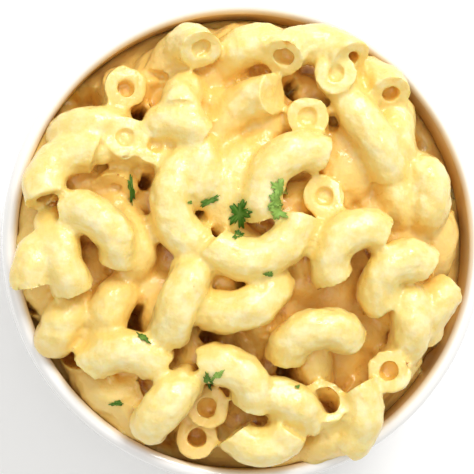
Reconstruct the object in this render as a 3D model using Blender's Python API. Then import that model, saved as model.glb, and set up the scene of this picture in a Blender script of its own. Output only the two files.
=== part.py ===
"""Macaroni and cheese heaped in a round porcelain bowl.

Blender 4.5, metres, +Z up. The origin is the middle of the bowl's foot ring, on the
surface that the bowl stands on. The bowl is a turned shell with a rounded lip and a foot
ring. The food is one solid: elbow macaroni in sauce, lying on a core that fills the bowl.
"""
import math

import bmesh
import bpy
from mathutils import Matrix, Vector

MM = 0.001

# Bowl
BOWL_HEIGHT = 55 * MM
RIM_RADIUS = 55.8 * MM
WALL = 3.4 * MM
SIDE_BOTTOM = 33 * MM
FLOOR_TOP = 7.5 * MM
FLOOR_RADIUS = 24 * MM
FOOT_RADIUS = 31 * MM
FOOT_WIDTH = 3.5 * MM
FOOT_HEIGHT = 4 * MM
FOOT_RECESS = 1.8 * MM
FOOT_ROUND = 0.6 * MM
BOWL_SIDES = 64
CURVE_STEPS = 6
LIP_STEPS = 6

# Food
PASTA_RADIUS = 5.4 * MM
PASTA_SIDES = 12
PASTA_STEPS = 8
CORE_CROWN = 4.5 * MM
CORE_EDGE = -2.5 * MM
CORE_IN_WALL = 1.2 * MM
FOOD_GAP = 0.3 * MM
FOOD_VOXEL = 1.5 * MM
FOOD_DETAIL = 0.11

# Each elbow's centre line is the arc through three points: one end, the middle and the
# other end. X, Y and height are in millimetres from the middle of the rim.
ELBOWS = (
    # back edge, from left to right
    ((-28.5, 34, 4), (-27.5, 33.5, -3), (-21.5, 32, -9)),
    ((-12, 42, 9), (-14.5, 44, 2.5), (-19.5, 37.5, -3)),
    ((-16.5, 28.5, 7), (-15.5, 32.5, 4), (-12.5, 33.5, -4)),
    ((-4, 39, -2), (0.5, 44.5, 4), (7, 40, -3)),
    ((4.5, 32.5, 8.5), (-1, 31, 4), (-9.5, 22, 1.5)),
    ((6.5, 40.5, 9), (15.5, 44.5, 5), (22.5, 40.5, 9)),
    ((12.5, 27.5, 8), (13.5, 26.5, 2), (16, 21, -4)),
    ((18.5, 37.5, 10), (20.5, 36, 4.5), (28, 29, 2)),
    ((22, 32.5, 3.5), (27.5, 24, 7), (32, 15.5, 4)),
    ((32, 33, 7), (30, 37, 2), (25, 39, -1)),
    ((34.5, 30, -2), (34, 22.5, 3), (35.5, 16.5, -2)),
    # left side, from back to front
    ((-42, 23.5, -1), (-36, 25, 3.5), (-30.5, 26, 0)),
    ((-12.8, 23.5, 6.5), (-16.7, 26, 7), (-20.5, 25, 4)),
    ((-28.8, 22.4, 8), (-28, 20.5, 2), (-25, 17, -4)),
    ((-22.4, 21, 7.6), (-21.5, 19.5, 1.5), (-17, 18, -4)),
    ((-46.5, 8, 7), (-44.5, 16.3, 5), (-34.6, 18.6, 5.5)),
    ((-31, 10.5, 2), (-28.5, 14, -2), (-23, 16.5, -6)),
    ((-41.5, 5.5, 6), (-33.5, 2.5, 9), (-30.5, -4.5, 5)),
    ((-28.5, 3.5, 0), (-26, -1, 3.5), (-27.5, -7, 0)),
    ((-44.5, 3, 2), (-43, -4.5, 7), (-40.5, -11.5, 5.5)),
    ((-42.5, -3, 1), (-48.5, -5, 6), (-49.5, -10.5, 5.5)),
    ((-45.5, 7, -6), (-47, 2.5, -4), (-45.5, -2.5, -6)),
    ((-39.5, -14, -2), (-42.5, -19, 2), (-44, -23, -1)),
    ((-29.5, -12, 1), (-31.5, -15.5, 3), (-33, -20, 0)),
    ((-27.5, -11.5, -4), (-22, -11.5, -1), (-15.5, -9.5, -4)),
    # middle
    ((-13.5, 17.5, 6), (-19, 8.5, 7.5), (-10.5, -2.2, 6.5)),
    ((-12.5, 20.5, 4), (-11.8, 15.5, 7), (-12.3, 10, 4)),
    ((0.8, 19.5, 1.5), (-5.2, 13.5, 5.4), (-5.6, 3.4, 2.6)),
    ((15.5, 19, 7.5), (4.8, 16.5, 10), (2.6, 5.2, 7)),
    ((-9.8, -1.6, 8.8), (1, -4.7, 10.1), (10.3, 4.6, 8.7)),
    ((16, 9.5, 9), (17.5, 8.5, 3), (21, 6.5, -2)),
    ((29, 1, 8), (18.5, -1.5, 10.1), (18.5, -9, 7.5)),
    ((-12.5, -6.5, 5), (-16.5, -13.5, 10), (-19, -21.5, 6)),
    ((-10, -16, 6), (-2.5, -16.5, 9), (5, -9.5, 5)),
    # right side, from back to front
    ((24, 28, -4), (25.5, 18.5, -1), (30, 11, -4)),
    ((35, 17, -1), (34, 11, 2.5), (36, 5, -1)),
    ((37.5, 15, -3), (41, 14, 4), (40.5, 5.5, 0)),
    ((45, 7, -7), (45, -0.5, -3), (43.5, -7, -7)),
    ((30, -14.5, 5), (31.5, -6, 9), (39.5, -6, 7)),
    ((46, -12, 1), (42.5, -15, 3), (40.5, -22, 0)),
    ((36.5, -24, 2), (36.5, -17.5, 6), (36, -12.5, 2)),
    ((31, -30, 7.5), (33.2, -29.3, 2), (37.5, -25.5, -3)),
    # front edge, from left to right
    ((-35.5, -28.5, 2), (-29.5, -25.5, 6), (-21.5, -28.5, 5)),
    ((-33.5, -32.5, -4), (-30, -35, -2), (-26, -40.5, -5)),
    ((-15, -33, 4), (-19.5, -37, 9), (-23, -42, 4.5)),
    ((-10, -38, 4), (-9.5, -37, -2), (-11.5, -34, -7)),
    ((-12, -45, 1), (-11.5, -44, -5), (-13.5, -40, -10)),
    ((-10.5, -29, 6), (-3, -30.5, 8.5), (0, -37.5, 6)),
    ((-4, -43.5, 4), (3, -46.5, 5), (8.5, -43, 6)),
    ((2.5, -35.5, 5), (7.5, -36.5, 7.5), (13, -41, 4)),
    ((7.5, -26.5, 5), (12, -21, 9.5), (22, -23, 6)),
    ((16.4, -36.4, 8), (16.9, -39, 3), (20.5, -44.5, -2)),
    ((24, -33.5, 5), (25.5, -39, 5), (22.5, -46, 1)),
    ((15, -46.5, -3), (20, -45, 0), (27, -42, -4)),
)


def clear_scene():
    """Remove every object that is already in the file."""
    for old in list(bpy.data.objects):
        bpy.data.objects.remove(old, do_unlink=True)


def make_material(name, colour, roughness):
    """A plain Principled material."""
    material = bpy.data.materials.new(name)
    material.use_nodes = True
    shader = material.node_tree.nodes["Principled BSDF"]
    shader.inputs["Base Color"].default_value = (*colour, 1)
    shader.inputs["Roughness"].default_value = roughness
    shader.inputs["Metallic"].default_value = 0
    return material


def finish_object(bm, name, material):
    """Turn a bmesh into a named, smooth-shaded object."""
    mesh = bpy.data.meshes.new(name)
    bm.to_mesh(mesh)
    bm.free()
    mesh.shade_smooth()
    mesh.set_sharp_from_angle(angle=math.radians(50))
    mesh.materials.append(material)
    piece = bpy.data.objects.new(name, mesh)
    bpy.context.collection.objects.link(piece)
    return piece


def belly_curve(foot_radius, side_radius, foot_height, side_height):
    """A quarter of an ellipse, from the foot out and up to the upright side."""
    points = []
    for step in range(CURVE_STEPS + 1):
        turn = math.radians(90) * step / CURVE_STEPS
        radius = foot_radius + (side_radius - foot_radius) * math.sin(turn)
        height = side_height - (side_height - foot_height) * math.cos(turn)
        points.append((radius, height))
    return points


def bowl_outline(grow=0.0):
    """The bowl's section as (radius, height) points, from the middle of its underside
    round the outside and the lip to the middle of its floor. It can be grown outwards."""
    side = RIM_RADIUS + grow
    inner_side = RIM_RADIUS - WALL - grow
    lip_radius = WALL / 2 + grow
    lip_height = BOWL_HEIGHT - WALL / 2
    foot_inner = FOOT_RADIUS - FOOT_WIDTH
    outline = [(0, FOOT_RECESS - grow)]
    outline.append((foot_inner - FOOT_RECESS, FOOT_RECESS - grow))
    outline.append((foot_inner + FOOT_ROUND - grow, -grow))
    outline.append((FOOT_RADIUS - FOOT_ROUND + grow, -grow))
    outline.append((FOOT_RADIUS + grow, FOOT_ROUND - grow))
    outline += belly_curve(FOOT_RADIUS + grow, side, FOOT_HEIGHT - grow, SIDE_BOTTOM)
    for step in range(LIP_STEPS + 1):
        turn = math.pi * step / LIP_STEPS
        radius = RIM_RADIUS - WALL / 2 + lip_radius * math.cos(turn)
        outline.append((radius, lip_height + lip_radius * math.sin(turn)))
    inside = belly_curve(FLOOR_RADIUS, inner_side, FLOOR_TOP + grow, SIDE_BOTTOM)
    outline += reversed(inside)
    outline.append((0, FLOOR_TOP + grow))
    return outline


def turned_bmesh(outline):
    """Spin a section that starts and ends on the axis into a closed round solid."""
    bm = bmesh.new()
    points = [bm.verts.new((radius, 0, height)) for radius, height in outline]
    edges = [bm.edges.new(pair) for pair in zip(points, points[1:])]
    bmesh.ops.spin(bm, geom=points + edges, cent=(0, 0, 0), axis=(0, 0, 1),
                   angle=math.tau, steps=BOWL_SIDES, use_merge=True)
    bmesh.ops.remove_doubles(bm, verts=bm.verts, dist=0.01 * MM)
    bmesh.ops.recalc_face_normals(bm, faces=bm.faces)
    return bm


def make_bowl(material):
    """The porcelain bowl."""
    return finish_object(turned_bmesh(bowl_outline()), "bowl", material)


def arc_through(start, middle, end):
    """The centre, axis and angle of the arc that runs through three points."""
    to_middle = middle - start
    to_end = end - start
    axis = to_middle.cross(to_end)
    offset = (axis.cross(to_middle) * to_end.length_squared
              + to_end.cross(axis) * to_middle.length_squared)
    centre = start + offset / (2 * axis.length_squared)
    spoke_in = start - centre
    spoke_out = end - centre
    angle = math.atan2(spoke_in.cross(spoke_out).dot(axis.normalized()),
                       spoke_in.dot(spoke_out))
    return centre, axis.normalized(), angle % math.tau


def add_elbow(bm, points):
    """Add one elbow as a solid rod: a disc spun along its arc."""
    rim_middle = Vector((0, 0, BOWL_HEIGHT))
    start, middle, end = (rim_middle + Vector(point) * MM for point in points)
    centre, axis, angle = arc_through(start, middle, end)
    heading = axis.cross(start - centre).normalized()
    place = Matrix.Translation(start) @ heading.to_track_quat("Z", "Y").to_matrix().to_4x4()
    disc = bmesh.ops.create_circle(bm, cap_ends=True, radius=PASTA_RADIUS,
                                   segments=PASTA_SIDES, matrix=place)
    faces = list({face for vert in disc["verts"] for face in vert.link_faces})
    edges = list({edge for vert in disc["verts"] for edge in vert.link_edges})
    bmesh.ops.spin(bm, geom=disc["verts"] + edges + faces, cent=centre, axis=axis,
                   angle=angle, steps=PASTA_STEPS, use_duplicate=False)


def core_bmesh():
    """The sauce and pasta that fill the bowl, domed on top and reaching into its wall."""
    side = RIM_RADIUS - WALL + CORE_IN_WALL
    outline = [(0, FLOOR_TOP - CORE_IN_WALL)]
    outline += belly_curve(FLOOR_RADIUS, side, FLOOR_TOP - CORE_IN_WALL, SIDE_BOTTOM)
    for step in range(CURVE_STEPS, -1, -1):
        share = step / CURVE_STEPS
        fall = CORE_CROWN + (CORE_EDGE - CORE_CROWN) * share ** 2
        outline.append((side * share, BOWL_HEIGHT + fall))
    return turned_bmesh(outline)


def evaluated_bmesh(piece):
    """A bmesh of an object as its modifiers leave it; the object is removed."""
    depsgraph = bpy.context.evaluated_depsgraph_get()
    mesh = bpy.data.meshes.new_from_object(piece.evaluated_get(depsgraph))
    bm = bmesh.new()
    bm.from_mesh(mesh)
    bpy.data.objects.remove(piece, do_unlink=True)
    return bm


def keep_largest_body(bm):
    """Delete every closed body of the mesh but the largest."""
    bodies = []
    waiting = set(bm.verts)
    while waiting:
        body = {waiting.pop()}
        edge_of_body = set(body)
        while edge_of_body:
            reached = {edge.other_vert(vert) for vert in edge_of_body for edge in vert.link_edges}
            edge_of_body = reached - body
            body |= edge_of_body
        waiting -= body
        bodies.append(body)
    bodies.sort(key=len)
    crumbs = [vert for body in bodies[:-1] for vert in body]
    bmesh.ops.delete(bm, geom=crumbs, context="VERTS")


def make_heap(material):
    """The macaroni: elbows and core grown into one skin, then cut clear of the bowl."""
    bm = core_bmesh()
    for points in ELBOWS:
        add_elbow(bm, points)
    bmesh.ops.recalc_face_normals(bm, faces=bm.faces)
    heap = finish_object(bm, "heap_blank", material)
    skin = heap.modifiers.new("one_skin", "REMESH")
    skin.mode = "VOXEL"
    skin.voxel_size = FOOD_VOXEL
    soften = heap.modifiers.new("soften", "SMOOTH")
    soften.factor = 0.5
    soften.iterations = 2
    thin = heap.modifiers.new("thin_out", "DECIMATE")
    thin.ratio = FOOD_DETAIL
    bm = evaluated_bmesh(heap)
    keep_largest_body(bm)
    heap = finish_object(bm, "heap_blank", material)

    clearance = finish_object(turned_bmesh(bowl_outline(grow=FOOD_GAP)), "bowl_clearance",
                              material)
    clearance.hide_render = True
    clearance.display_type = "WIRE"
    cut = heap.modifiers.new("clear_of_bowl", "BOOLEAN")
    cut.operation = "DIFFERENCE"
    cut.solver = "EXACT"
    cut.object = clearance
    bm = evaluated_bmesh(heap)
    keep_largest_body(bm)
    bmesh.ops.remove_doubles(bm, verts=bm.verts, dist=0.01 * MM)
    return finish_object(bm, "macaroni_heap", material)


clear_scene()
porcelain = make_material("white_porcelain", (0.86, 0.85, 0.83), 0.18)
cheese_sauce = make_material("cheese_sauce", (0.9, 0.7, 0.3), 0.4)
make_bowl(porcelain)
make_heap(cheese_sauce)
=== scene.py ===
"""Macaroni and cheese heaped in a small round porcelain bowl, on a pale table."""
import math
import random

import bmesh
import bpy
from mathutils import Matrix, Vector, noise
from mathutils.bvhtree import BVHTree


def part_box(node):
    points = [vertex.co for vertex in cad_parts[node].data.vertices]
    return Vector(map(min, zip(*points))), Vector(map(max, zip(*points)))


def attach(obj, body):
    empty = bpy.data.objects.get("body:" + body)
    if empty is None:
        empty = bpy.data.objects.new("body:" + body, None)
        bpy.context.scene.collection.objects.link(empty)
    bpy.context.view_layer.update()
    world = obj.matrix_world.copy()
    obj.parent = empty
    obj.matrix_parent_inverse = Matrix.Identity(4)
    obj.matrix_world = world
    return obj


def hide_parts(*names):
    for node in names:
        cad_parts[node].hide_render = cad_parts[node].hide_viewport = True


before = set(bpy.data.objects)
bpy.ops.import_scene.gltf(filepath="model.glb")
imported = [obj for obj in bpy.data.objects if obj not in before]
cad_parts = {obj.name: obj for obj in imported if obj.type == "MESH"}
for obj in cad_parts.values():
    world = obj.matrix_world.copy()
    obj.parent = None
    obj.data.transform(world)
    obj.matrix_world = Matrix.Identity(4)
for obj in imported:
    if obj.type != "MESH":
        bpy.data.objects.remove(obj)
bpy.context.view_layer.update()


# ---------------------------------------------------------------------------
# Table, light and camera. The dish stands on a plain white table. A big soft window
# lights it from behind, and the ceiling throws back a wider, weaker light. The camera
# looks down on it from almost above.
# ---------------------------------------------------------------------------
MM = 0.001
TABLE_REACH = 1.5
CAMERA_AZIMUTH = 204
CAMERA_ELEVATION = 81
CAMERA_DISTANCE = 0.42
CAMERA_LENS = 139.4
# The place that the camera faces, in millimetres from the middle of the rim.
VIEW_OFFSET = (-2.6, 0.6, 0)

rim_middle = Vector((0, 0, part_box("bowl")[1].z))


def aim(thing, place, target, up=Vector((0, 1, 0))):
    """Stand a camera or a lamp at a place, facing a target, with its top towards up."""
    back = (place - target).normalized()
    side = up.cross(back).normalized()
    turn = Matrix((side, back.cross(side), back)).transposed()
    thing.matrix_world = Matrix.Translation(place) @ turn.to_4x4()


def direction(azimuth, elevation):
    """A unit vector, from degrees round from +X and degrees above the table."""
    flat = math.cos(math.radians(elevation))
    return Vector((flat * math.cos(math.radians(azimuth)),
                   flat * math.sin(math.radians(azimuth)),
                   math.sin(math.radians(elevation))))


def soft_lamp(name, azimuth, elevation, distance, width, power, colour):
    """A square soft box that faces the dish."""
    lamp_data = bpy.data.lights.new(name, "AREA")
    lamp_data.size = width
    lamp_data.energy = power
    lamp_data.color = colour
    lamp = bpy.data.objects.new(name, lamp_data)
    bpy.context.collection.objects.link(lamp)
    aim(lamp, rim_middle + direction(azimuth, elevation) * distance, rim_middle)


def new_material(name, settings):
    """A node material, with the values given for its shader's sockets."""
    material = bpy.data.materials.new(name)
    material.use_nodes = True
    for socket, value in settings.items():
        material.node_tree.nodes["Principled BSDF"].inputs[socket].default_value = value
    return material


def new_piece(bm, name, *materials):
    """Turn a bmesh into a smooth object of its own, at the origin."""
    mesh = bpy.data.meshes.new(name)
    bm.to_mesh(mesh)
    bm.free()
    mesh.shade_smooth()
    for material in materials:
        mesh.materials.append(material)
    piece = bpy.data.objects.new(name, mesh)
    bpy.context.collection.objects.link(piece)
    return piece


soft_lamp("window", azimuth=70, elevation=46, distance=0.9, width=0.4, power=5.8,
          colour=(1.0, 0.985, 0.96))
soft_lamp("ceiling_bounce", azimuth=200, elevation=72, distance=1.0, width=0.8, power=2.2,
          colour=(1.0, 0.99, 0.97))

room = bpy.data.worlds.new("room")
room.use_nodes = True
room_light = room.node_tree.nodes["Background"]
room_light.inputs["Color"].default_value = (1.0, 0.99, 0.975, 1)
room_light.inputs["Strength"].default_value = 0.67
bpy.context.scene.world = room
bpy.context.scene.view_settings.view_transform = "Standard"

view_middle = rim_middle + Vector(VIEW_OFFSET) * MM
camera_data = bpy.data.cameras.new("camera")
camera_data.sensor_width = 36
camera_data.lens = CAMERA_LENS
camera = bpy.data.objects.new("camera", camera_data)
bpy.context.collection.objects.link(camera)
eye = view_middle + direction(CAMERA_AZIMUTH, CAMERA_ELEVATION) * CAMERA_DISTANCE
aim(camera, eye, view_middle)
bpy.context.scene.camera = camera

table_white = new_material("table_white", {"Base Color": (0.96, 0.96, 0.955, 1),
                                           "Roughness": 0.6})
bm = bmesh.new()
bmesh.ops.create_grid(bm, x_segments=1, y_segments=1, size=TABLE_REACH)
table = new_piece(bm, "table", table_white)


# ---------------------------------------------------------------------------
# Bowl. White porcelain under a clear glaze, turned in one piece: upright sides, a
# round lip and a foot ring. The wall inside is painted with shade and with the yellow
# light that the food throws back onto it, faint on the lip and browner further down.
# ---------------------------------------------------------------------------
RIM_RADIUS = 55.8 * MM
BOWL_HEIGHT = 55 * MM
WALL = 3.4 * MM
LIP_ROUND = WALL / 2
LIP_MIDDLE = RIM_RADIUS - LIP_ROUND
LIP_STEPS = 16
SIDE_BOTTOM = 33 * MM
SIDE_RINGS = (38 * MM, 43 * MM, 48 * MM)
BOWL_SIDES = 160
FLOOR_TOP = 7.5 * MM
FLOOR_RADIUS = 24 * MM
FOOT_RADIUS = 31 * MM
FOOT_WIDTH = 3.5 * MM
FOOT_HEIGHT = 4 * MM
FOOT_ROUND = 0.7 * MM
FOOT_RECESS = 1.8 * MM
# How far out onto the lip the painted shade on the wall inside reaches, and how far below the
# top it grows to full strength.
SHADE_ON_LIP = 1.8 * MM
SHADE_DEPTH = 6 * MM


def quarter_curve(low_radius, high_radius, low, high, steps):
    """A quarter of an ellipse, from flat at its low end to upright at its high end."""
    points = []
    for step in range(steps + 1):
        turn = math.radians(90) * step / steps
        points.append((low_radius + (high_radius - low_radius) * math.sin(turn),
                       high - (high - low) * math.cos(turn)))
    return points


def turned_shape(outline, sides):
    """Spin an outline of (radius, height) points into a closed round shape."""
    bm = bmesh.new()
    points = [bm.verts.new((radius, 0, height)) for radius, height in outline]
    edges = [bm.edges.new(pair) for pair in zip(points, points[1:])]
    bmesh.ops.spin(bm, geom=points + edges, cent=(0, 0, 0), axis=(0, 0, 1),
                   angle=math.tau, steps=sides, use_merge=True)
    bmesh.ops.remove_doubles(bm, verts=bm.verts, dist=0.01 * MM)
    bmesh.ops.recalc_face_normals(bm, faces=bm.faces)
    return bm


def attribute(nodes, name):
    """The value that each vertex of a piece carries under a name."""
    node = nodes.new("ShaderNodeAttribute")
    node.attribute_name = name
    return node.outputs["Fac"]


def colour_ramp(nodes, stops):
    """A colour ramp with the colours given, each at its place from 0 to 1."""
    ramp = nodes.new("ShaderNodeValToRGB")
    elements = ramp.color_ramp.elements
    elements.remove(elements[1])
    elements[0].position = stops[0][0]
    for place, _ in stops[1:]:
        elements.new(place)
    for element, (_, colour) in zip(elements, stops):
        element.color = (*colour, 1)
    return ramp


# The recess under the foot, the ring that it stands on, and the foot's outer side.
foot_inner = FOOT_RADIUS - FOOT_WIDTH
outline = [(0, FOOT_RECESS), (foot_inner - 2.4 * MM, FOOT_RECESS),
           (foot_inner - 1.2 * MM, 1.4 * MM), (foot_inner, 0.5 * MM),
           (foot_inner + FOOT_ROUND, 0), (FOOT_RADIUS - FOOT_ROUND, 0),
           (FOOT_RADIUS - 0.2 * MM, 0.2 * MM), (FOOT_RADIUS, FOOT_ROUND),
           (FOOT_RADIUS, 3 * MM), (FOOT_RADIUS + 0.15 * MM, 3.7 * MM)]
# The belly and the side, over the lip, and back down the inside to the floor.
outline += quarter_curve(FOOT_RADIUS + 0.8 * MM, RIM_RADIUS, FOOT_HEIGHT, SIDE_BOTTOM, 20)
outline += [(RIM_RADIUS, height) for height in SIDE_RINGS]
for step in range(LIP_STEPS + 1):
    turn = math.pi * step / LIP_STEPS
    outline.append((LIP_MIDDLE + LIP_ROUND * math.cos(turn),
                    BOWL_HEIGHT - LIP_ROUND + LIP_ROUND * math.sin(turn)))
outline += [(RIM_RADIUS - WALL, height) for height in reversed(SIDE_RINGS)]
outline += reversed(quarter_curve(FLOOR_RADIUS, RIM_RADIUS - WALL, FLOOR_TOP, SIDE_BOTTOM, 16))
outline.append((0, FLOOR_TOP))

porcelain = new_material("white_porcelain", {"Roughness": 0.12, "Coat Weight": 0.3,
                                             "Coat Roughness": 0.05})
nodes = porcelain.node_tree.nodes
links = porcelain.node_tree.links
# Painted shade and painted yellow bounce light on the wall inside: white where there is none,
# then tan, and brown where it is strongest.
wall_shade = colour_ramp(nodes, ((0, (0.86, 0.855, 0.84)), (0.06, (0.82, 0.73, 0.58)),
                           (0.3, (0.76, 0.54, 0.28)), (1, (0.62, 0.34, 0.1))))
links.new(attribute(nodes, "wall_shade_depth"), wall_shade.inputs["Fac"])
links.new(wall_shade.outputs["Color"], nodes["Principled BSDF"].inputs["Base Color"])

bowl = new_piece(turned_shape(outline, BOWL_SIDES), "bowl_shell", porcelain)
# How strong the painted shade is at each vertex: nothing outside the wall or below the side's
# bottom, growing inwards over the lip and downwards from its top.
layer = bowl.data.attributes.new("wall_shade_depth", "FLOAT", "POINT")
for vert in bowl.data.vertices:
    inset = (RIM_RADIUS - WALL + SHADE_ON_LIP - vert.co.xy.length) / MM
    below = (BOWL_HEIGHT - vert.co.z) / SHADE_DEPTH
    if vert.co.z > SIDE_BOTTOM:
        layer.data[vert.index].value = min(max(inset, 0), 1) * min(below, 1)
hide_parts("bowl")
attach(bowl, "root")


# ---------------------------------------------------------------------------
# Macaroni. Soft-cooked elbows of durum wheat, each a bent tube 9 to 10 mm across with
# its coat of cheese sauce. The sauce joins them where they touch, fills some of their
# ends and pools between them, over a core of the same.
# ---------------------------------------------------------------------------
TUBE_RADIUS = 4.8 * MM
HOLE_RADIUS = 2.2 * MM
WIDER_TUBE = 0.4 * MM
WIDER_HOLE = 0.9 * MM
TUBE_SIDES = 24
TUBE_STEPS = 14
CORE_BOTTOM = 38 * MM
CORE_SIDES = 96
SAUCE_GROW = 0.35 * MM
SKIN_VOXEL = 0.5 * MM
KEPT_FACES = 0.44

# Each elbow's middle line is the arc through one end, the middle and the other end.
# X, Y and height are in millimetres from the middle of the rim. A word after them says
# how far sauce fills the tube's ends, where it does, or that the tube is a wide one.
ELBOWS = (
    # back edge, from left to right
    ((-28.5, 34, 4), (-27.5, 33.5, -3), (-21.5, 32, -9), "deep"),
    ((-12, 42, 9), (-14.5, 44, 2.5), (-19.5, 37.5, -3), "dimple"),
    ((-16.5, 28.5, 7), (-15.5, 32.5, 4), (-12.5, 33.5, -4)),
    ((-4, 39, -2), (0.5, 44.5, 4), (7, 40, -3)),
    ((4.5, 32.5, 8.5), (-1, 31, 4), (-9.5, 22, 1.5), "full"),
    ((6.5, 40.5, 9), (15.5, 44.5, 5), (22.5, 40.5, 9), "deep"),
    ((12.5, 27.5, 8), (13.5, 26.5, 2), (16, 21, -4), "dimple"),
    ((18.5, 37.5, 10), (20.5, 36, 4.5), (28, 29, 2), "dimple"),
    ((22, 32.5, 3.5), (27.5, 24, 7), (32, 15.5, 4)),
    ((32, 33, 7), (30, 37, 2), (25, 39, -1), "deep"),
    ((34.5, 30, -2), (34, 22.5, 3), (35.5, 16.5, -2)),
    # left side, from back to front
    ((-42, 23.5, -1), (-36, 25, 3.5), (-30.5, 26, 0)),
    ((-12.8, 23.5, 6.5), (-16.7, 26, 7), (-20.5, 25, 4)),
    ((-28.8, 22.4, 8), (-28, 20.5, 2), (-25, 17, -4), "dimple"),
    ((-22.4, 21, 7.6), (-21.5, 19.5, 1.5), (-17, 18, -4), "dimple"),
    ((-46.5, 8, 7), (-44.5, 16.3, 5), (-34.6, 18.6, 5.5)),
    ((-31, 10.5, 2), (-28.5, 14, -2), (-23, 16.5, -6)),
    ((-41.5, 5.5, 6), (-33.5, 2.5, 9), (-30.5, -4.5, 5), "full"),
    ((-28.5, 3.5, 0), (-26, -1, 3.5), (-27.5, -7, 0)),
    ((-44.5, 3, 2), (-43, -4.5, 7), (-40.5, -11.5, 5.5)),
    ((-42.5, -3, 1), (-48.5, -5, 6), (-49.5, -10.5, 5.5)),
    ((-45.5, 7, -6), (-47, 2.5, -4), (-45.5, -2.5, -6)),
    ((-39.5, -14, -2), (-42.5, -19, 2), (-44, -23, -1)),
    ((-29.5, -12, 1), (-31.5, -15.5, 3), (-33, -20, 0)),
    ((-27.5, -11.5, -4), (-22, -11.5, -1), (-15.5, -9.5, -4)),
    # middle
    ((-13.5, 17.5, 6), (-19, 8.5, 7.5), (-10.5, -2.2, 6.5)),
    ((-12.5, 20.5, 4), (-11.8, 15.5, 7), (-12.3, 10, 4)),
    ((0.8, 19.5, 1.5), (-5.2, 13.5, 5.4), (-5.6, 3.4, 2.6), "full"),
    ((15.5, 19, 7.5), (4.8, 16.5, 10), (2.6, 5.2, 7), "full"),
    ((-9.8, -1.6, 8.8), (1, -4.7, 10.1), (10.3, 4.6, 8.7), "full"),
    ((16, 9.5, 9), (17.5, 8.5, 3), (21, 6.5, -2), "dimple"),
    ((29, 1, 8), (18.5, -1.5, 10.1), (18.5, -9, 7.5), "full"),
    ((-12.5, -6.5, 5), (-16.5, -13.5, 10), (-19, -21.5, 6)),
    ((-10, -16, 6), (-2.5, -16.5, 9), (5, -9.5, 5), "full"),
    # right side, from back to front
    ((24, 28, -4), (25.5, 18.5, -1), (30, 11, -4)),
    ((35, 17, -1), (34, 11, 2.5), (36, 5, -1)),
    ((37.5, 15, -3), (41, 14, 4), (40.5, 5.5, 0)),
    ((45, 7, -7), (45, -0.5, -3), (43.5, -7, -7)),
    ((30, -14.5, 5), (31.5, -6, 9), (39.5, -6, 7), "full"),
    ((46, -12, 1), (42.5, -15, 3), (40.5, -22, 0)),
    ((36.5, -24, 2), (36.5, -17.5, 6), (36, -12.5, 2)),
    ((31, -30, 7.5), (33.2, -29.3, 2), (37.5, -25.5, -3), "deep"),
    # front edge, from left to right
    ((-35.5, -28.5, 2), (-29.5, -25.5, 6), (-21.5, -28.5, 5)),
    ((-33.5, -32.5, -4), (-30, -35, -2), (-26, -40.5, -5)),
    ((-15, -33, 4), (-19.5, -37, 9), (-23, -42, 4.5), "full"),
    ((-10, -38, 4), (-9.5, -37, -2), (-11.5, -34, -7), "deep"),
    ((-12, -45, 1), (-11.5, -44, -5), (-13.5, -40, -10)),
    ((-10.5, -29, 6), (-3, -30.5, 8.5), (0, -37.5, 6)),
    ((-4, -43.5, 4), (3, -46.5, 5), (8.5, -43, 6)),
    ((2.5, -35.5, 5), (7.5, -36.5, 7.5), (13, -41, 4)),
    ((7.5, -26.5, 5), (12, -21, 9.5), (22, -23, 6)),
    ((16.4, -36.4, 8), (16.9, -39, 3), (20.5, -44.5, -2), "wide"),
    ((24, -33.5, 5), (25.5, -39, 5), (22.5, -46, 1)),
    ((15, -46.5, -3), (20, -45, 0), (27, -42, -4)),
)


def arc_through(start, middle, end):
    """The centre, axis and angle of the arc that runs through three points."""
    to_middle = middle - start
    to_end = end - start
    axis = to_middle.cross(to_end)
    offset = (axis.cross(to_middle) * to_end.length_squared
              + to_end.cross(axis) * to_middle.length_squared)
    centre = start + offset / (2 * axis.length_squared)
    spoke_in = start - centre
    spoke_out = end - centre
    angle = math.atan2(spoke_in.cross(spoke_out).dot(axis.normalized()),
                       spoke_in.dot(spoke_out))
    return centre, axis.normalized(), angle % math.tau


def move_into(whole, part):
    """Add a part's mesh to a bigger one, and let the part go."""
    mesh = bpy.data.meshes.new("part")
    part.to_mesh(mesh)
    part.free()
    whole.from_mesh(mesh)
    bpy.data.meshes.remove(mesh)


# How far in from the tube's ends the plugs of sauce are, and their radius.
FILLINGS = {"full": (2.6 * MM, 2.9 * MM), "dimple": (3.7 * MM, 2.6 * MM),
            "deep": (5.4 * MM, 2.6 * MM)}


def add_elbow(heap, points, outer, hole, filling=None):
    """Add one bent tube to a heap: a washer-shaped face spun along its arc, with a ball
    of sauce in each end where the filling says so."""
    start, middle, end = (rim_middle + Vector(point) * MM for point in points)
    if filling == "wide":
        outer += WIDER_TUBE
        hole += WIDER_HOLE
    centre, axis, angle = arc_through(start, middle, end)
    heading = axis.cross(start - centre).normalized()
    place = Matrix.Translation(start) @ heading.to_track_quat("Z", "Y").to_matrix().to_4x4()
    bm = bmesh.new()
    for radius in (outer, hole):
        bmesh.ops.create_circle(bm, radius=radius, segments=TUBE_SIDES, matrix=place)
    bmesh.ops.bridge_loops(bm, edges=bm.edges)
    bmesh.ops.spin(bm, geom=bm.verts[:] + bm.edges[:] + bm.faces[:], cent=centre, axis=axis,
                   angle=angle, steps=TUBE_STEPS, use_duplicate=False)
    if filling in FILLINGS:
        depth, radius = FILLINGS[filling]
        bend = depth / (start - centre).length
        for turn in (bend, angle - bend):
            plug = centre + Matrix.Rotation(turn, 3, axis) @ (start - centre)
            bmesh.ops.create_icosphere(bm, subdivisions=3, radius=radius,
                                       matrix=Matrix.Translation(plug))
    bmesh.ops.recalc_face_normals(bm, faces=bm.faces)
    move_into(heap, bm)


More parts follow.
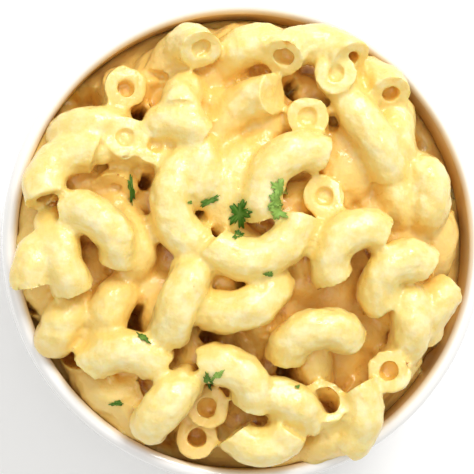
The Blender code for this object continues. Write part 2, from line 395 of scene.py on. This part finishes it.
def random_turn(dice):
    """A random direction, as a unit vector."""
    return Vector([dice.gauss(0, 1) for _ in range(3)]).normalized()


def sauce_level(radius, top=3, fall=4, dome=38, edge=52):
    """How high the sauce stands above the rim at a distance from the middle, both in
    millimetres: a low dome, with an extra fall over the last three tenths to the edge."""
    return top - fall * (radius / dome) ** 2 - fall * max(radius / edge - 0.7, 0) / 0.3


def bent(middle, along, bow, reach=7.5, drop=4, rise=2):
    """The three points of an elbow that lies along one direction and bows to another."""
    bow = (bow - along * bow.dot(along)).normalized()
    return (middle - along * reach - bow * drop, middle + bow * rise,
            middle + along * reach - bow * drop)


# Distances from the middle, in millimetres, at which the core's top follows the sauce.
CORE_RADII = (53.5, 50, 48, 45, 42, 38, 32, 26, 20, 14, 7, 0)

# Where sauce has run together between the elbows: the middle and the half-widths of each
# pool, in millimetres from the middle of the rim.
POOLS = (
    ((22.5, 17.5, 0.5), (8.5, 10, 6)),
    ((-22, -11, -1.5), (7, 6, 4.4)),
    ((-31, -13.5, -1.5), (5.5, 7, 5)),
    ((-36, -6.5, -1), (4.5, 6, 4)),
    ((-34, 18.6, 5.3), (3, 3, 3)),
    ((-10.8, 3, 2.5), (3.6, 3.2, 3)),
    ((-39.5, 12.5, -1.5), (4, 4.5, 4)),
    ((-19, -5.5, -2), (4.5, 5, 4)),
    ((12, -9, -1), (8, 7, 5.2)),
    ((26, -20, -2.5), (8, 7, 4)),
    ((-33, 11, -2), (7, 8, 4)),
    ((-26.5, 14.5, -1.5), (6, 6, 4.5)),
    ((14, 33, -2), (7, 6, 4)),
)

# Open places by the wall, with no elbow of the layer below: the middle and the half-widths.
CLEARINGS = (
    ((44, 20, 0), (9, 8, 0)),
    ((-38, -27, 0), (6, 6, 0)),
)

# Degrees round the bowl at which the layer below has an elbow by the wall, and the place
# of that ring, in millimetres from the middle of the rim.
WALL_TURNS = (0, 90, 105, 165, 180, 195, 225, *range(285, 360, 15))
WALL_RING = 44.7
WALL_RING_HEIGHT = -6.5

# Sauce that lies along the wall: the degrees round the bowl at which each stretch starts,
# passes its middle and ends, and how far out and how high it lies, in millimetres.
SHORES = ((150, 175, 200), (226, 235, 244), (276, 284, 292))
SHORE_RING = 49.4
SHORE_HEIGHT = -4.2
SHORE_RADIUS = 4 * MM
SHORE_HOLE = 1 * MM


def under_pool(point, pool, margin=1.1):
    """Whether a point lies within a pool's outline or just beside it, seen from above."""
    middle, widths = pool
    return math.hypot((point[0] - middle[0]) / widths[0],
                      (point[1] - middle[1]) / widths[1]) < margin


def hidden_elbows(dice, spacing=9.5, widest=49, clearance=6.5):
    """Elbows of the layer below, on a loose grid and round the wall, each lying at random
    in the sauce. They keep clear of the bowl, of the ends above them and of the pools. The
    ring by the wall lies a little further in and lower on its +X side."""
    ends = [Vector(points[side]) for points in ELBOWS for side in (0, 2) if points[side][2] > 2]
    elbows = []
    rows = int(widest / spacing)
    for row in range(-rows, rows + 1):
        for column in range(-rows, rows + 1):
            middle = Vector(((column + row % 2 / 2) * spacing, row * spacing, 0))
            middle += Vector((dice.uniform(-2, 2), dice.uniform(-2, 2), 0))
            middle.z = sauce_level(middle.length) - 3 + dice.uniform(-1.2, 1.2)
            along = random_turn(dice)
            along.z *= 0.4
            elbows.append(bent(middle, along.normalized(), random_turn(dice)))
    for turn in WALL_TURNS:
        outwards = Vector((math.cos(math.radians(turn)), math.sin(math.radians(turn)), 0))
        along = outwards.cross(Vector((0, 0, 1))) + Vector((0, 0, dice.uniform(-0.7, 0.7)))
        middle = outwards * (WALL_RING - 1.5 * outwards.x)
        middle.z = WALL_RING_HEIGHT - 3 * outwards.x
        middle.z += dice.uniform(-1, 1)
        elbows.append(bent(middle, along.normalized(), outwards + random_turn(dice) * 0.4))
    return [points for points in elbows if max(point.xy.length for point in points) < widest
            and min((point - end).length for point in points for end in ends) > clearance
            and not any(under_pool(points[1], pool) for pool in POOLS + CLEARINGS)]


# The core, the elbows, the sauce along the wall and the pools, all overlapping. The
# elbows are drawn too big by SAUCE_GROW, and their holes too small.
outline = [(0, CORE_BOTTOM), (CORE_RADII[0] * MM, CORE_BOTTOM)]
for radius in CORE_RADII:
    outline.append((radius * MM, rim_middle.z + sauce_level(radius) * MM))
bm = turned_shape(outline, CORE_SIDES)
for points in ELBOWS:
    add_elbow(bm, points[:3], TUBE_RADIUS + SAUCE_GROW, HOLE_RADIUS - SAUCE_GROW, *points[3:])
for points in hidden_elbows(random.Random(11)):
    add_elbow(bm, points, TUBE_RADIUS + SAUCE_GROW, HOLE_RADIUS - SAUCE_GROW, "full")
for turns in SHORES:
    shore = [(*(direction(turn, 0).xy * SHORE_RING), SHORE_HEIGHT) for turn in turns]
    add_elbow(bm, shore, SHORE_RADIUS, SHORE_HOLE)
for middle, widths in POOLS:
    place = Matrix.LocRotScale(rim_middle + Vector(middle) * MM, None, Vector(widths) * MM)
    bmesh.ops.create_icosphere(bm, subdivisions=3, radius=1, matrix=place)
macaroni = new_piece(bm, "macaroni")


def soften(piece, name):
    """Round off a piece's skin a little."""
    smooth = piece.modifiers.new(name, "SMOOTH")
    smooth.factor = 0.5
    smooth.iterations = 2


def settle(piece):
    """Apply a piece's modifiers to its mesh."""
    depsgraph = bpy.context.evaluated_depsgraph_get()
    mesh = bpy.data.meshes.new_from_object(piece.evaluated_get(depsgraph))
    piece.modifiers.clear()
    piece.data = mesh
    mesh.shade_smooth()


# One skin over all of them, which bridges the narrow gaps and is then drawn back in.
skin = macaroni.modifiers.new("one_skin", "REMESH")
skin.mode = "VOXEL"
skin.voxel_size = SKIN_VOXEL
soften(macaroni, "soften")
shrink = macaroni.modifiers.new("back_to_size", "DISPLACE")
shrink.mid_level = 0
shrink.strength = -SAUCE_GROW
soften(macaroni, "soften_again")
thin = macaroni.modifiers.new("thin_out", "DECIMATE")
thin.ratio = KEPT_FACES
settle(macaroni)

# The lumps and curds of the sauce: how wide each kind is, and how high in millimetres.
LUMPS = ((6.5 * MM, 0.6), (2.8 * MM, 0.36), (1.4 * MM, 0.2))
BOWL_GAP = 0.06 * MM


def clear_of_bowl(point):
    """The nearest place inside the bowl's wall, or on its lip, for a point of the food."""
    radius = point.xy.length
    wall = RIM_RADIUS - WALL - BOWL_GAP
    if radius < wall:
        return point
    if point.z - rim_middle.z + LIP_ROUND <= 0:
        return Vector((*(point.xy * (wall / radius)), point.z))
    reach = LIP_ROUND + BOWL_GAP
    floor = math.sqrt(max(reach ** 2 - (radius - LIP_MIDDLE) ** 2, 0))
    return Vector((point.x, point.y, max(point.z, rim_middle.z - LIP_ROUND + floor)))


# Deep gaps between the elbows: the middle and the half-width of each, in millimetres. The
# sauce in them drops by up to GAP_DROP, but not below GAP_BOTTOM.
GAP_DROP = 11 * MM
GAP_BOTTOM = 40 * MM
GAPS = (
    (-24.5, 28.5, 3), (-24, 13, 2.1), (-25.5, -18.3, 3.4), (-5.5, -9, 3), (-9, -23, 3),
    (-4.5, -23.5, 2.6), (11.5, 35, 3.2), (5, 26, 2.8), (11, 10, 2.8),
    (39.5, 23.5, 3), (47.5, 10, 3), (-49.5, 0, 2.5), (-48.5, -15, 2.5), (-39, -25.5, 4),
    (-34.5, -33.5, 3), (-18, -46, 3), (-37, 32, 4), (43, -26, 4), (9, -30, 2.5),
)


def sunk(point, margin=1.8, lowest=-1):
    """How far the sauce drops away at a point, if it lies low in one of the gaps: no more
    than a margin above the sauce's level, in millimetres."""
    if point.z > rim_middle.z + max(sauce_level(point.xy.length / MM) + margin, lowest) * MM:
        return 0
    drop = 0
    for across, up, width in GAPS:
        away = math.hypot(point.x / MM - across, point.y / MM - up) / width
        drop = max(drop, GAP_DROP * (1 - min(away, 1) ** 2))
    return min(drop, max(point.z - GAP_BOTTOM, 0))


moved = []
for vert in macaroni.data.vertices:
    lump = sum(noise.noise(vert.co / width) * height for width, height in LUMPS)
    place = vert.co + vert.normal * lump * MM
    moved.extend(clear_of_bowl(place - Vector((0, 0, sunk(place)))))
macaroni.data.vertices.foreach_set("co", moved)
macaroni.data.update()


def openness(mesh, rays=18, reach=14 * MM, lean=0.6, gap=0.15):
    """For each vertex, the share of the light from above that reaches it past the food.
    The rays start a small gap off the skin, spread evenly by the golden angle over the
    half of the sky that leans the way the skin faces."""
    golden_angle = math.radians(137.5)
    tree = BVHTree.FromPolygons([vert.co for vert in mesh.vertices],
                                [face.vertices for face in mesh.polygons])
    spread = []
    for ray in range(rays):
        lift = math.sqrt(1 - (ray + 0.5) / rays)
        turn = ray * golden_angle
        flat = math.sqrt(1 - lift ** 2)
        spread.append(Vector((flat * math.cos(turn), flat * math.sin(turn), lift)))
    shares = []
    for vert in mesh.vertices:
        normal = vert.normal
        turned = (normal * lean + Vector((0, 0, 1))).to_track_quat("Z", "Y")
        origin = vert.co + normal * gap * MM
        free = 0
        for ray in spread:
            heading = turned @ ray
            if heading.dot(normal) > 0 and tree.ray_cast(origin, heading, reach)[0] is None:
                free += 1
        shares.append(free / rays)
    return shares


def lowness(point, top=3, fall=4, dome=45 * MM, line=1.5, fade=6):
    """1 where a point of the heap lies low, down to 0 where it stands well out of the
    sauce, measured in millimetres from a low dome."""
    lift = (point.z - rim_middle.z) / MM - top + fall * (point.xy.length / dome) ** 2
    return min(max(1 - (lift - line) / fade, 0), 1)


# Painted shade and light: how open each vertex is to the light from above, which darkens the
# gaps and lightens the tops.
layer = macaroni.data.attributes.new("openness", "FLOAT", "POINT")
layer.data.foreach_set("value", openness(macaroni.data))
# How low each vertex lies, for the darker yellow that is partly thick sauce and partly painted
# shade.
layer = macaroni.data.attributes.new("lowness", "FLOAT", "POINT")
layer.data.foreach_set("value", [lowness(vert.co) for vert in macaroni.data.vertices])

# The colour carries painted shade and light: brown deep in the gaps, over the sauce's
# yellow, to cream on the open tops that most light from above reaches, and to a darker
# yellow where the heap lies low, partly the thick sauce's own colour and partly painted
# shade. It varies in patches of about 3 mm, over a grain of about 1 mm.
PATCHES_PER_METRE = 330
GRAINS_PER_METRE = 850
pasta = new_material("pasta_in_sauce", {
    "Coat Weight": 0.5, "Coat Roughness": 0.13, "Subsurface Weight": 0.4,
    "Subsurface Radius": (1.0, 0.55, 0.2), "Subsurface Scale": 2 * MM})
nodes = pasta.node_tree.nodes
links = pasta.node_tree.links
shader = nodes["Principled BSDF"]
place = nodes.new("ShaderNodeTexCoord")
light = attribute(nodes, "openness")
patches = nodes.new("ShaderNodeTexNoise")
patches.inputs["Scale"].default_value = PATCHES_PER_METRE
patches.inputs["Detail"].default_value = 4
links.new(place.outputs["Object"], patches.inputs["Vector"])
shade = nodes.new("ShaderNodeMath")
shade.operation = "MULTIPLY_ADD"
shade.inputs[1].default_value = 0.8
shade.inputs[2].default_value = -0.17
links.new(light, shade.inputs[0])
patchy_shade = nodes.new("ShaderNodeMath")
patchy_shade.operation = "MULTIPLY_ADD"
patchy_shade.inputs[1].default_value = 0.55
links.new(patches.outputs["Fac"], patchy_shade.inputs[0])
links.new(shade.outputs["Value"], patchy_shade.inputs[2])
# Brown for painted shade in the gaps, through the sauce's yellow, to cream for painted light on
# the open tops, with random patches mixed in.
light_and_shade_ramp = colour_ramp(nodes, ((0.04, (0.45, 0.12, 0.01)), (0.28, (0.88, 0.5, 0.07)),
                           (0.55, (0.88, 0.62, 0.15)), (0.83, (0.86, 0.68, 0.225)),
                           (1, (0.88, 0.78, 0.42))))
links.new(patchy_shade.outputs["Value"], light_and_shade_ramp.inputs["Fac"])
# Where the heap lies low and open, a darker yellow: partly the thick sauce's own colour, partly
# painted shade.
low_and_shaded = nodes.new("ShaderNodeMath")
low_and_shaded.operation = "MULTIPLY"
links.new(attribute(nodes, "lowness"), low_and_shaded.inputs[0])
links.new(light, low_and_shaded.inputs[1])
sauce_and_shade = nodes.new("ShaderNodeMix")
sauce_and_shade.data_type = "RGBA"
sauce_and_shade.inputs["B"].default_value = (0.86, 0.57, 0.16, 1)
links.new(low_and_shaded.outputs["Value"], sauce_and_shade.inputs["Factor"])
links.new(light_and_shade_ramp.outputs["Color"], sauce_and_shade.inputs["A"])
links.new(sauce_and_shade.outputs["Result"], shader.inputs["Base Color"])
wetness = nodes.new("ShaderNodeMapRange")
wetness.inputs["From Min"].default_value = 0.3
wetness.inputs["From Max"].default_value = 0.7
wetness.inputs["To Min"].default_value = 0.25
wetness.inputs["To Max"].default_value = 0.45
links.new(patches.outputs["Fac"], wetness.inputs["Value"])
links.new(wetness.outputs["Result"], shader.inputs["Roughness"])
grain = nodes.new("ShaderNodeTexNoise")
grain.inputs["Scale"].default_value = GRAINS_PER_METRE
grain.inputs["Detail"].default_value = 3
links.new(place.outputs["Object"], grain.inputs["Vector"])
bump = nodes.new("ShaderNodeBump")
bump.inputs["Strength"].default_value = 1.0
bump.inputs["Distance"].default_value = 0.2 * MM
links.new(grain.outputs["Fac"], bump.inputs["Height"])
links.new(bump.outputs["Normal"], shader.inputs["Normal"])
links.new(bump.outputs["Normal"], shader.inputs["Coat Normal"])
macaroni.data.materials.append(pasta)
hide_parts("macaroni_heap")
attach(macaroni, "root")


# ---------------------------------------------------------------------------
# Parsley. Fresh curly leaves, chopped small and scattered on top: thin, lobed blades
# that cling to the sauce.
# ---------------------------------------------------------------------------
BLADE_THICKNESS = 0.12 * MM
SIGHT_HEIGHT = 4

# Each blade's place as the eye meets it at SIGHT_HEIGHT above the rim, its length and
# width, all in millimetres, the turn of its length from +X in degrees, its number of
# lobes and how light its green is.
PARSLEY = (
    ((-2.6, 5.6), 6.6, 5.0, 80, 5, 0.1),
    ((-2.9, 1.0), 2.8, 2.0, 20, 3, 0.2),
    ((6.5, 11.6), 4.6, 4.0, 100, 4, 0.75),
    ((5.8, 8.8), 4.6, 3.4, 60, 4, 0.6),
    ((6.2, 6.2), 5.0, 3.6, 150, 4, 0.8),
    ((-9.4, 8.4), 5.4, 1.6, 26, 4, 0.25),
    ((-13.8, 8.1), 1.1, 0.7, 0, 3, 0.5),
    ((-27.2, 10.8), 7.0, 1.5, 96, 4, 0.15),
    ((4.2, -8.1), 2.5, 1.2, 0, 3, 0.35),
    ((-24.4, -22.3), 4.4, 1.3, -40, 4, 0.2),
    ((-30.3, -37.2), 3.4, 1.3, 5, 3, 0.15),
    ((-9.7, -32.2), 4.2, 1.9, -70, 4, 0.2),
    ((-7.6, -30.9), 3.8, 1.5, 35, 4, 0.8),
    ((10.7, -33.5), 1.3, 0.9, 0, 3, 0.4),
)

food = BVHTree.FromPolygons([vert.co for vert in macaroni.data.vertices],
                            [face.vertices for face in macaroni.data.polygons])


def on_food(across, up, lift):
    """The place on the food that the eye meets at a point, lifted a little off it."""
    target = rim_middle + Vector((across, up, SIGHT_HEIGHT)) * MM
    sight = (target - eye).normalized()
    return food.ray_cast(eye, sight)[0] - sight * lift * MM


def add_blade(leaves, dice, place, length, width, turn, lobes, light):
    """Add one blade, draped over the food: a disc with a notch between its lobes and a
    frilled edge."""
    bm = bmesh.new()
    bmesh.ops.create_circle(bm, radius=1, segments=lobes * 6, cap_ends=True, cap_tris=True)
    bmesh.ops.subdivide_edges(bm, edges=bm.edges, cuts=1)
    tone = bm.verts.layers.float.new("light_green")
    turned = Matrix.Rotation(math.radians(turn), 2)
    start = dice.uniform(0, math.tau)
    for vert in bm.verts:
        around = math.atan2(vert.co.y, vert.co.x)
        reach = vert.co.length
        notch = (0.5 + 0.5 * math.cos(around * lobes + start)) ** 1.5
        frill = 0.15 * math.cos(around * lobes * 3 + start)
        blade = reach * (1 - reach * (0.45 * notch + frill) + dice.uniform(-0.08, 0.08) * reach)
        flat = turned @ Vector((math.cos(around) * blade * length / 2,
                                math.sin(around) * blade * width / 2))
        curl = 0.25 + reach * dice.uniform(0, 0.5)
        vert.co = on_food(place[0] + flat.x, place[1] + flat.y, curl)
        vert[tone] = min(max(light + dice.uniform(-0.2, 0.2), 0), 1)
    bmesh.ops.recalc_face_normals(bm, faces=bm.faces)
    bmesh.ops.solidify(bm, geom=bm.faces[:], thickness=BLADE_THICKNESS)
    move_into(leaves, bm)


leaf_green = new_material("leaf_green", {"Roughness": 0.5, "Specular IOR Level": 0.2})
nodes = leaf_green.node_tree.nodes
links = leaf_green.node_tree.links
greens = colour_ramp(nodes, ((0, (0.035, 0.13, 0.004)), (1, (0.36, 0.56, 0.12))))
links.new(attribute(nodes, "light_green"), greens.inputs["Fac"])
links.new(greens.outputs["Color"], nodes["Principled BSDF"].inputs["Base Color"])

dice = random.Random(5)
leaves = bmesh.new()
for blade in PARSLEY:
    add_blade(leaves, dice, *blade)
parsley = new_piece(leaves, "parsley", leaf_green)
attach(parsley, "root")
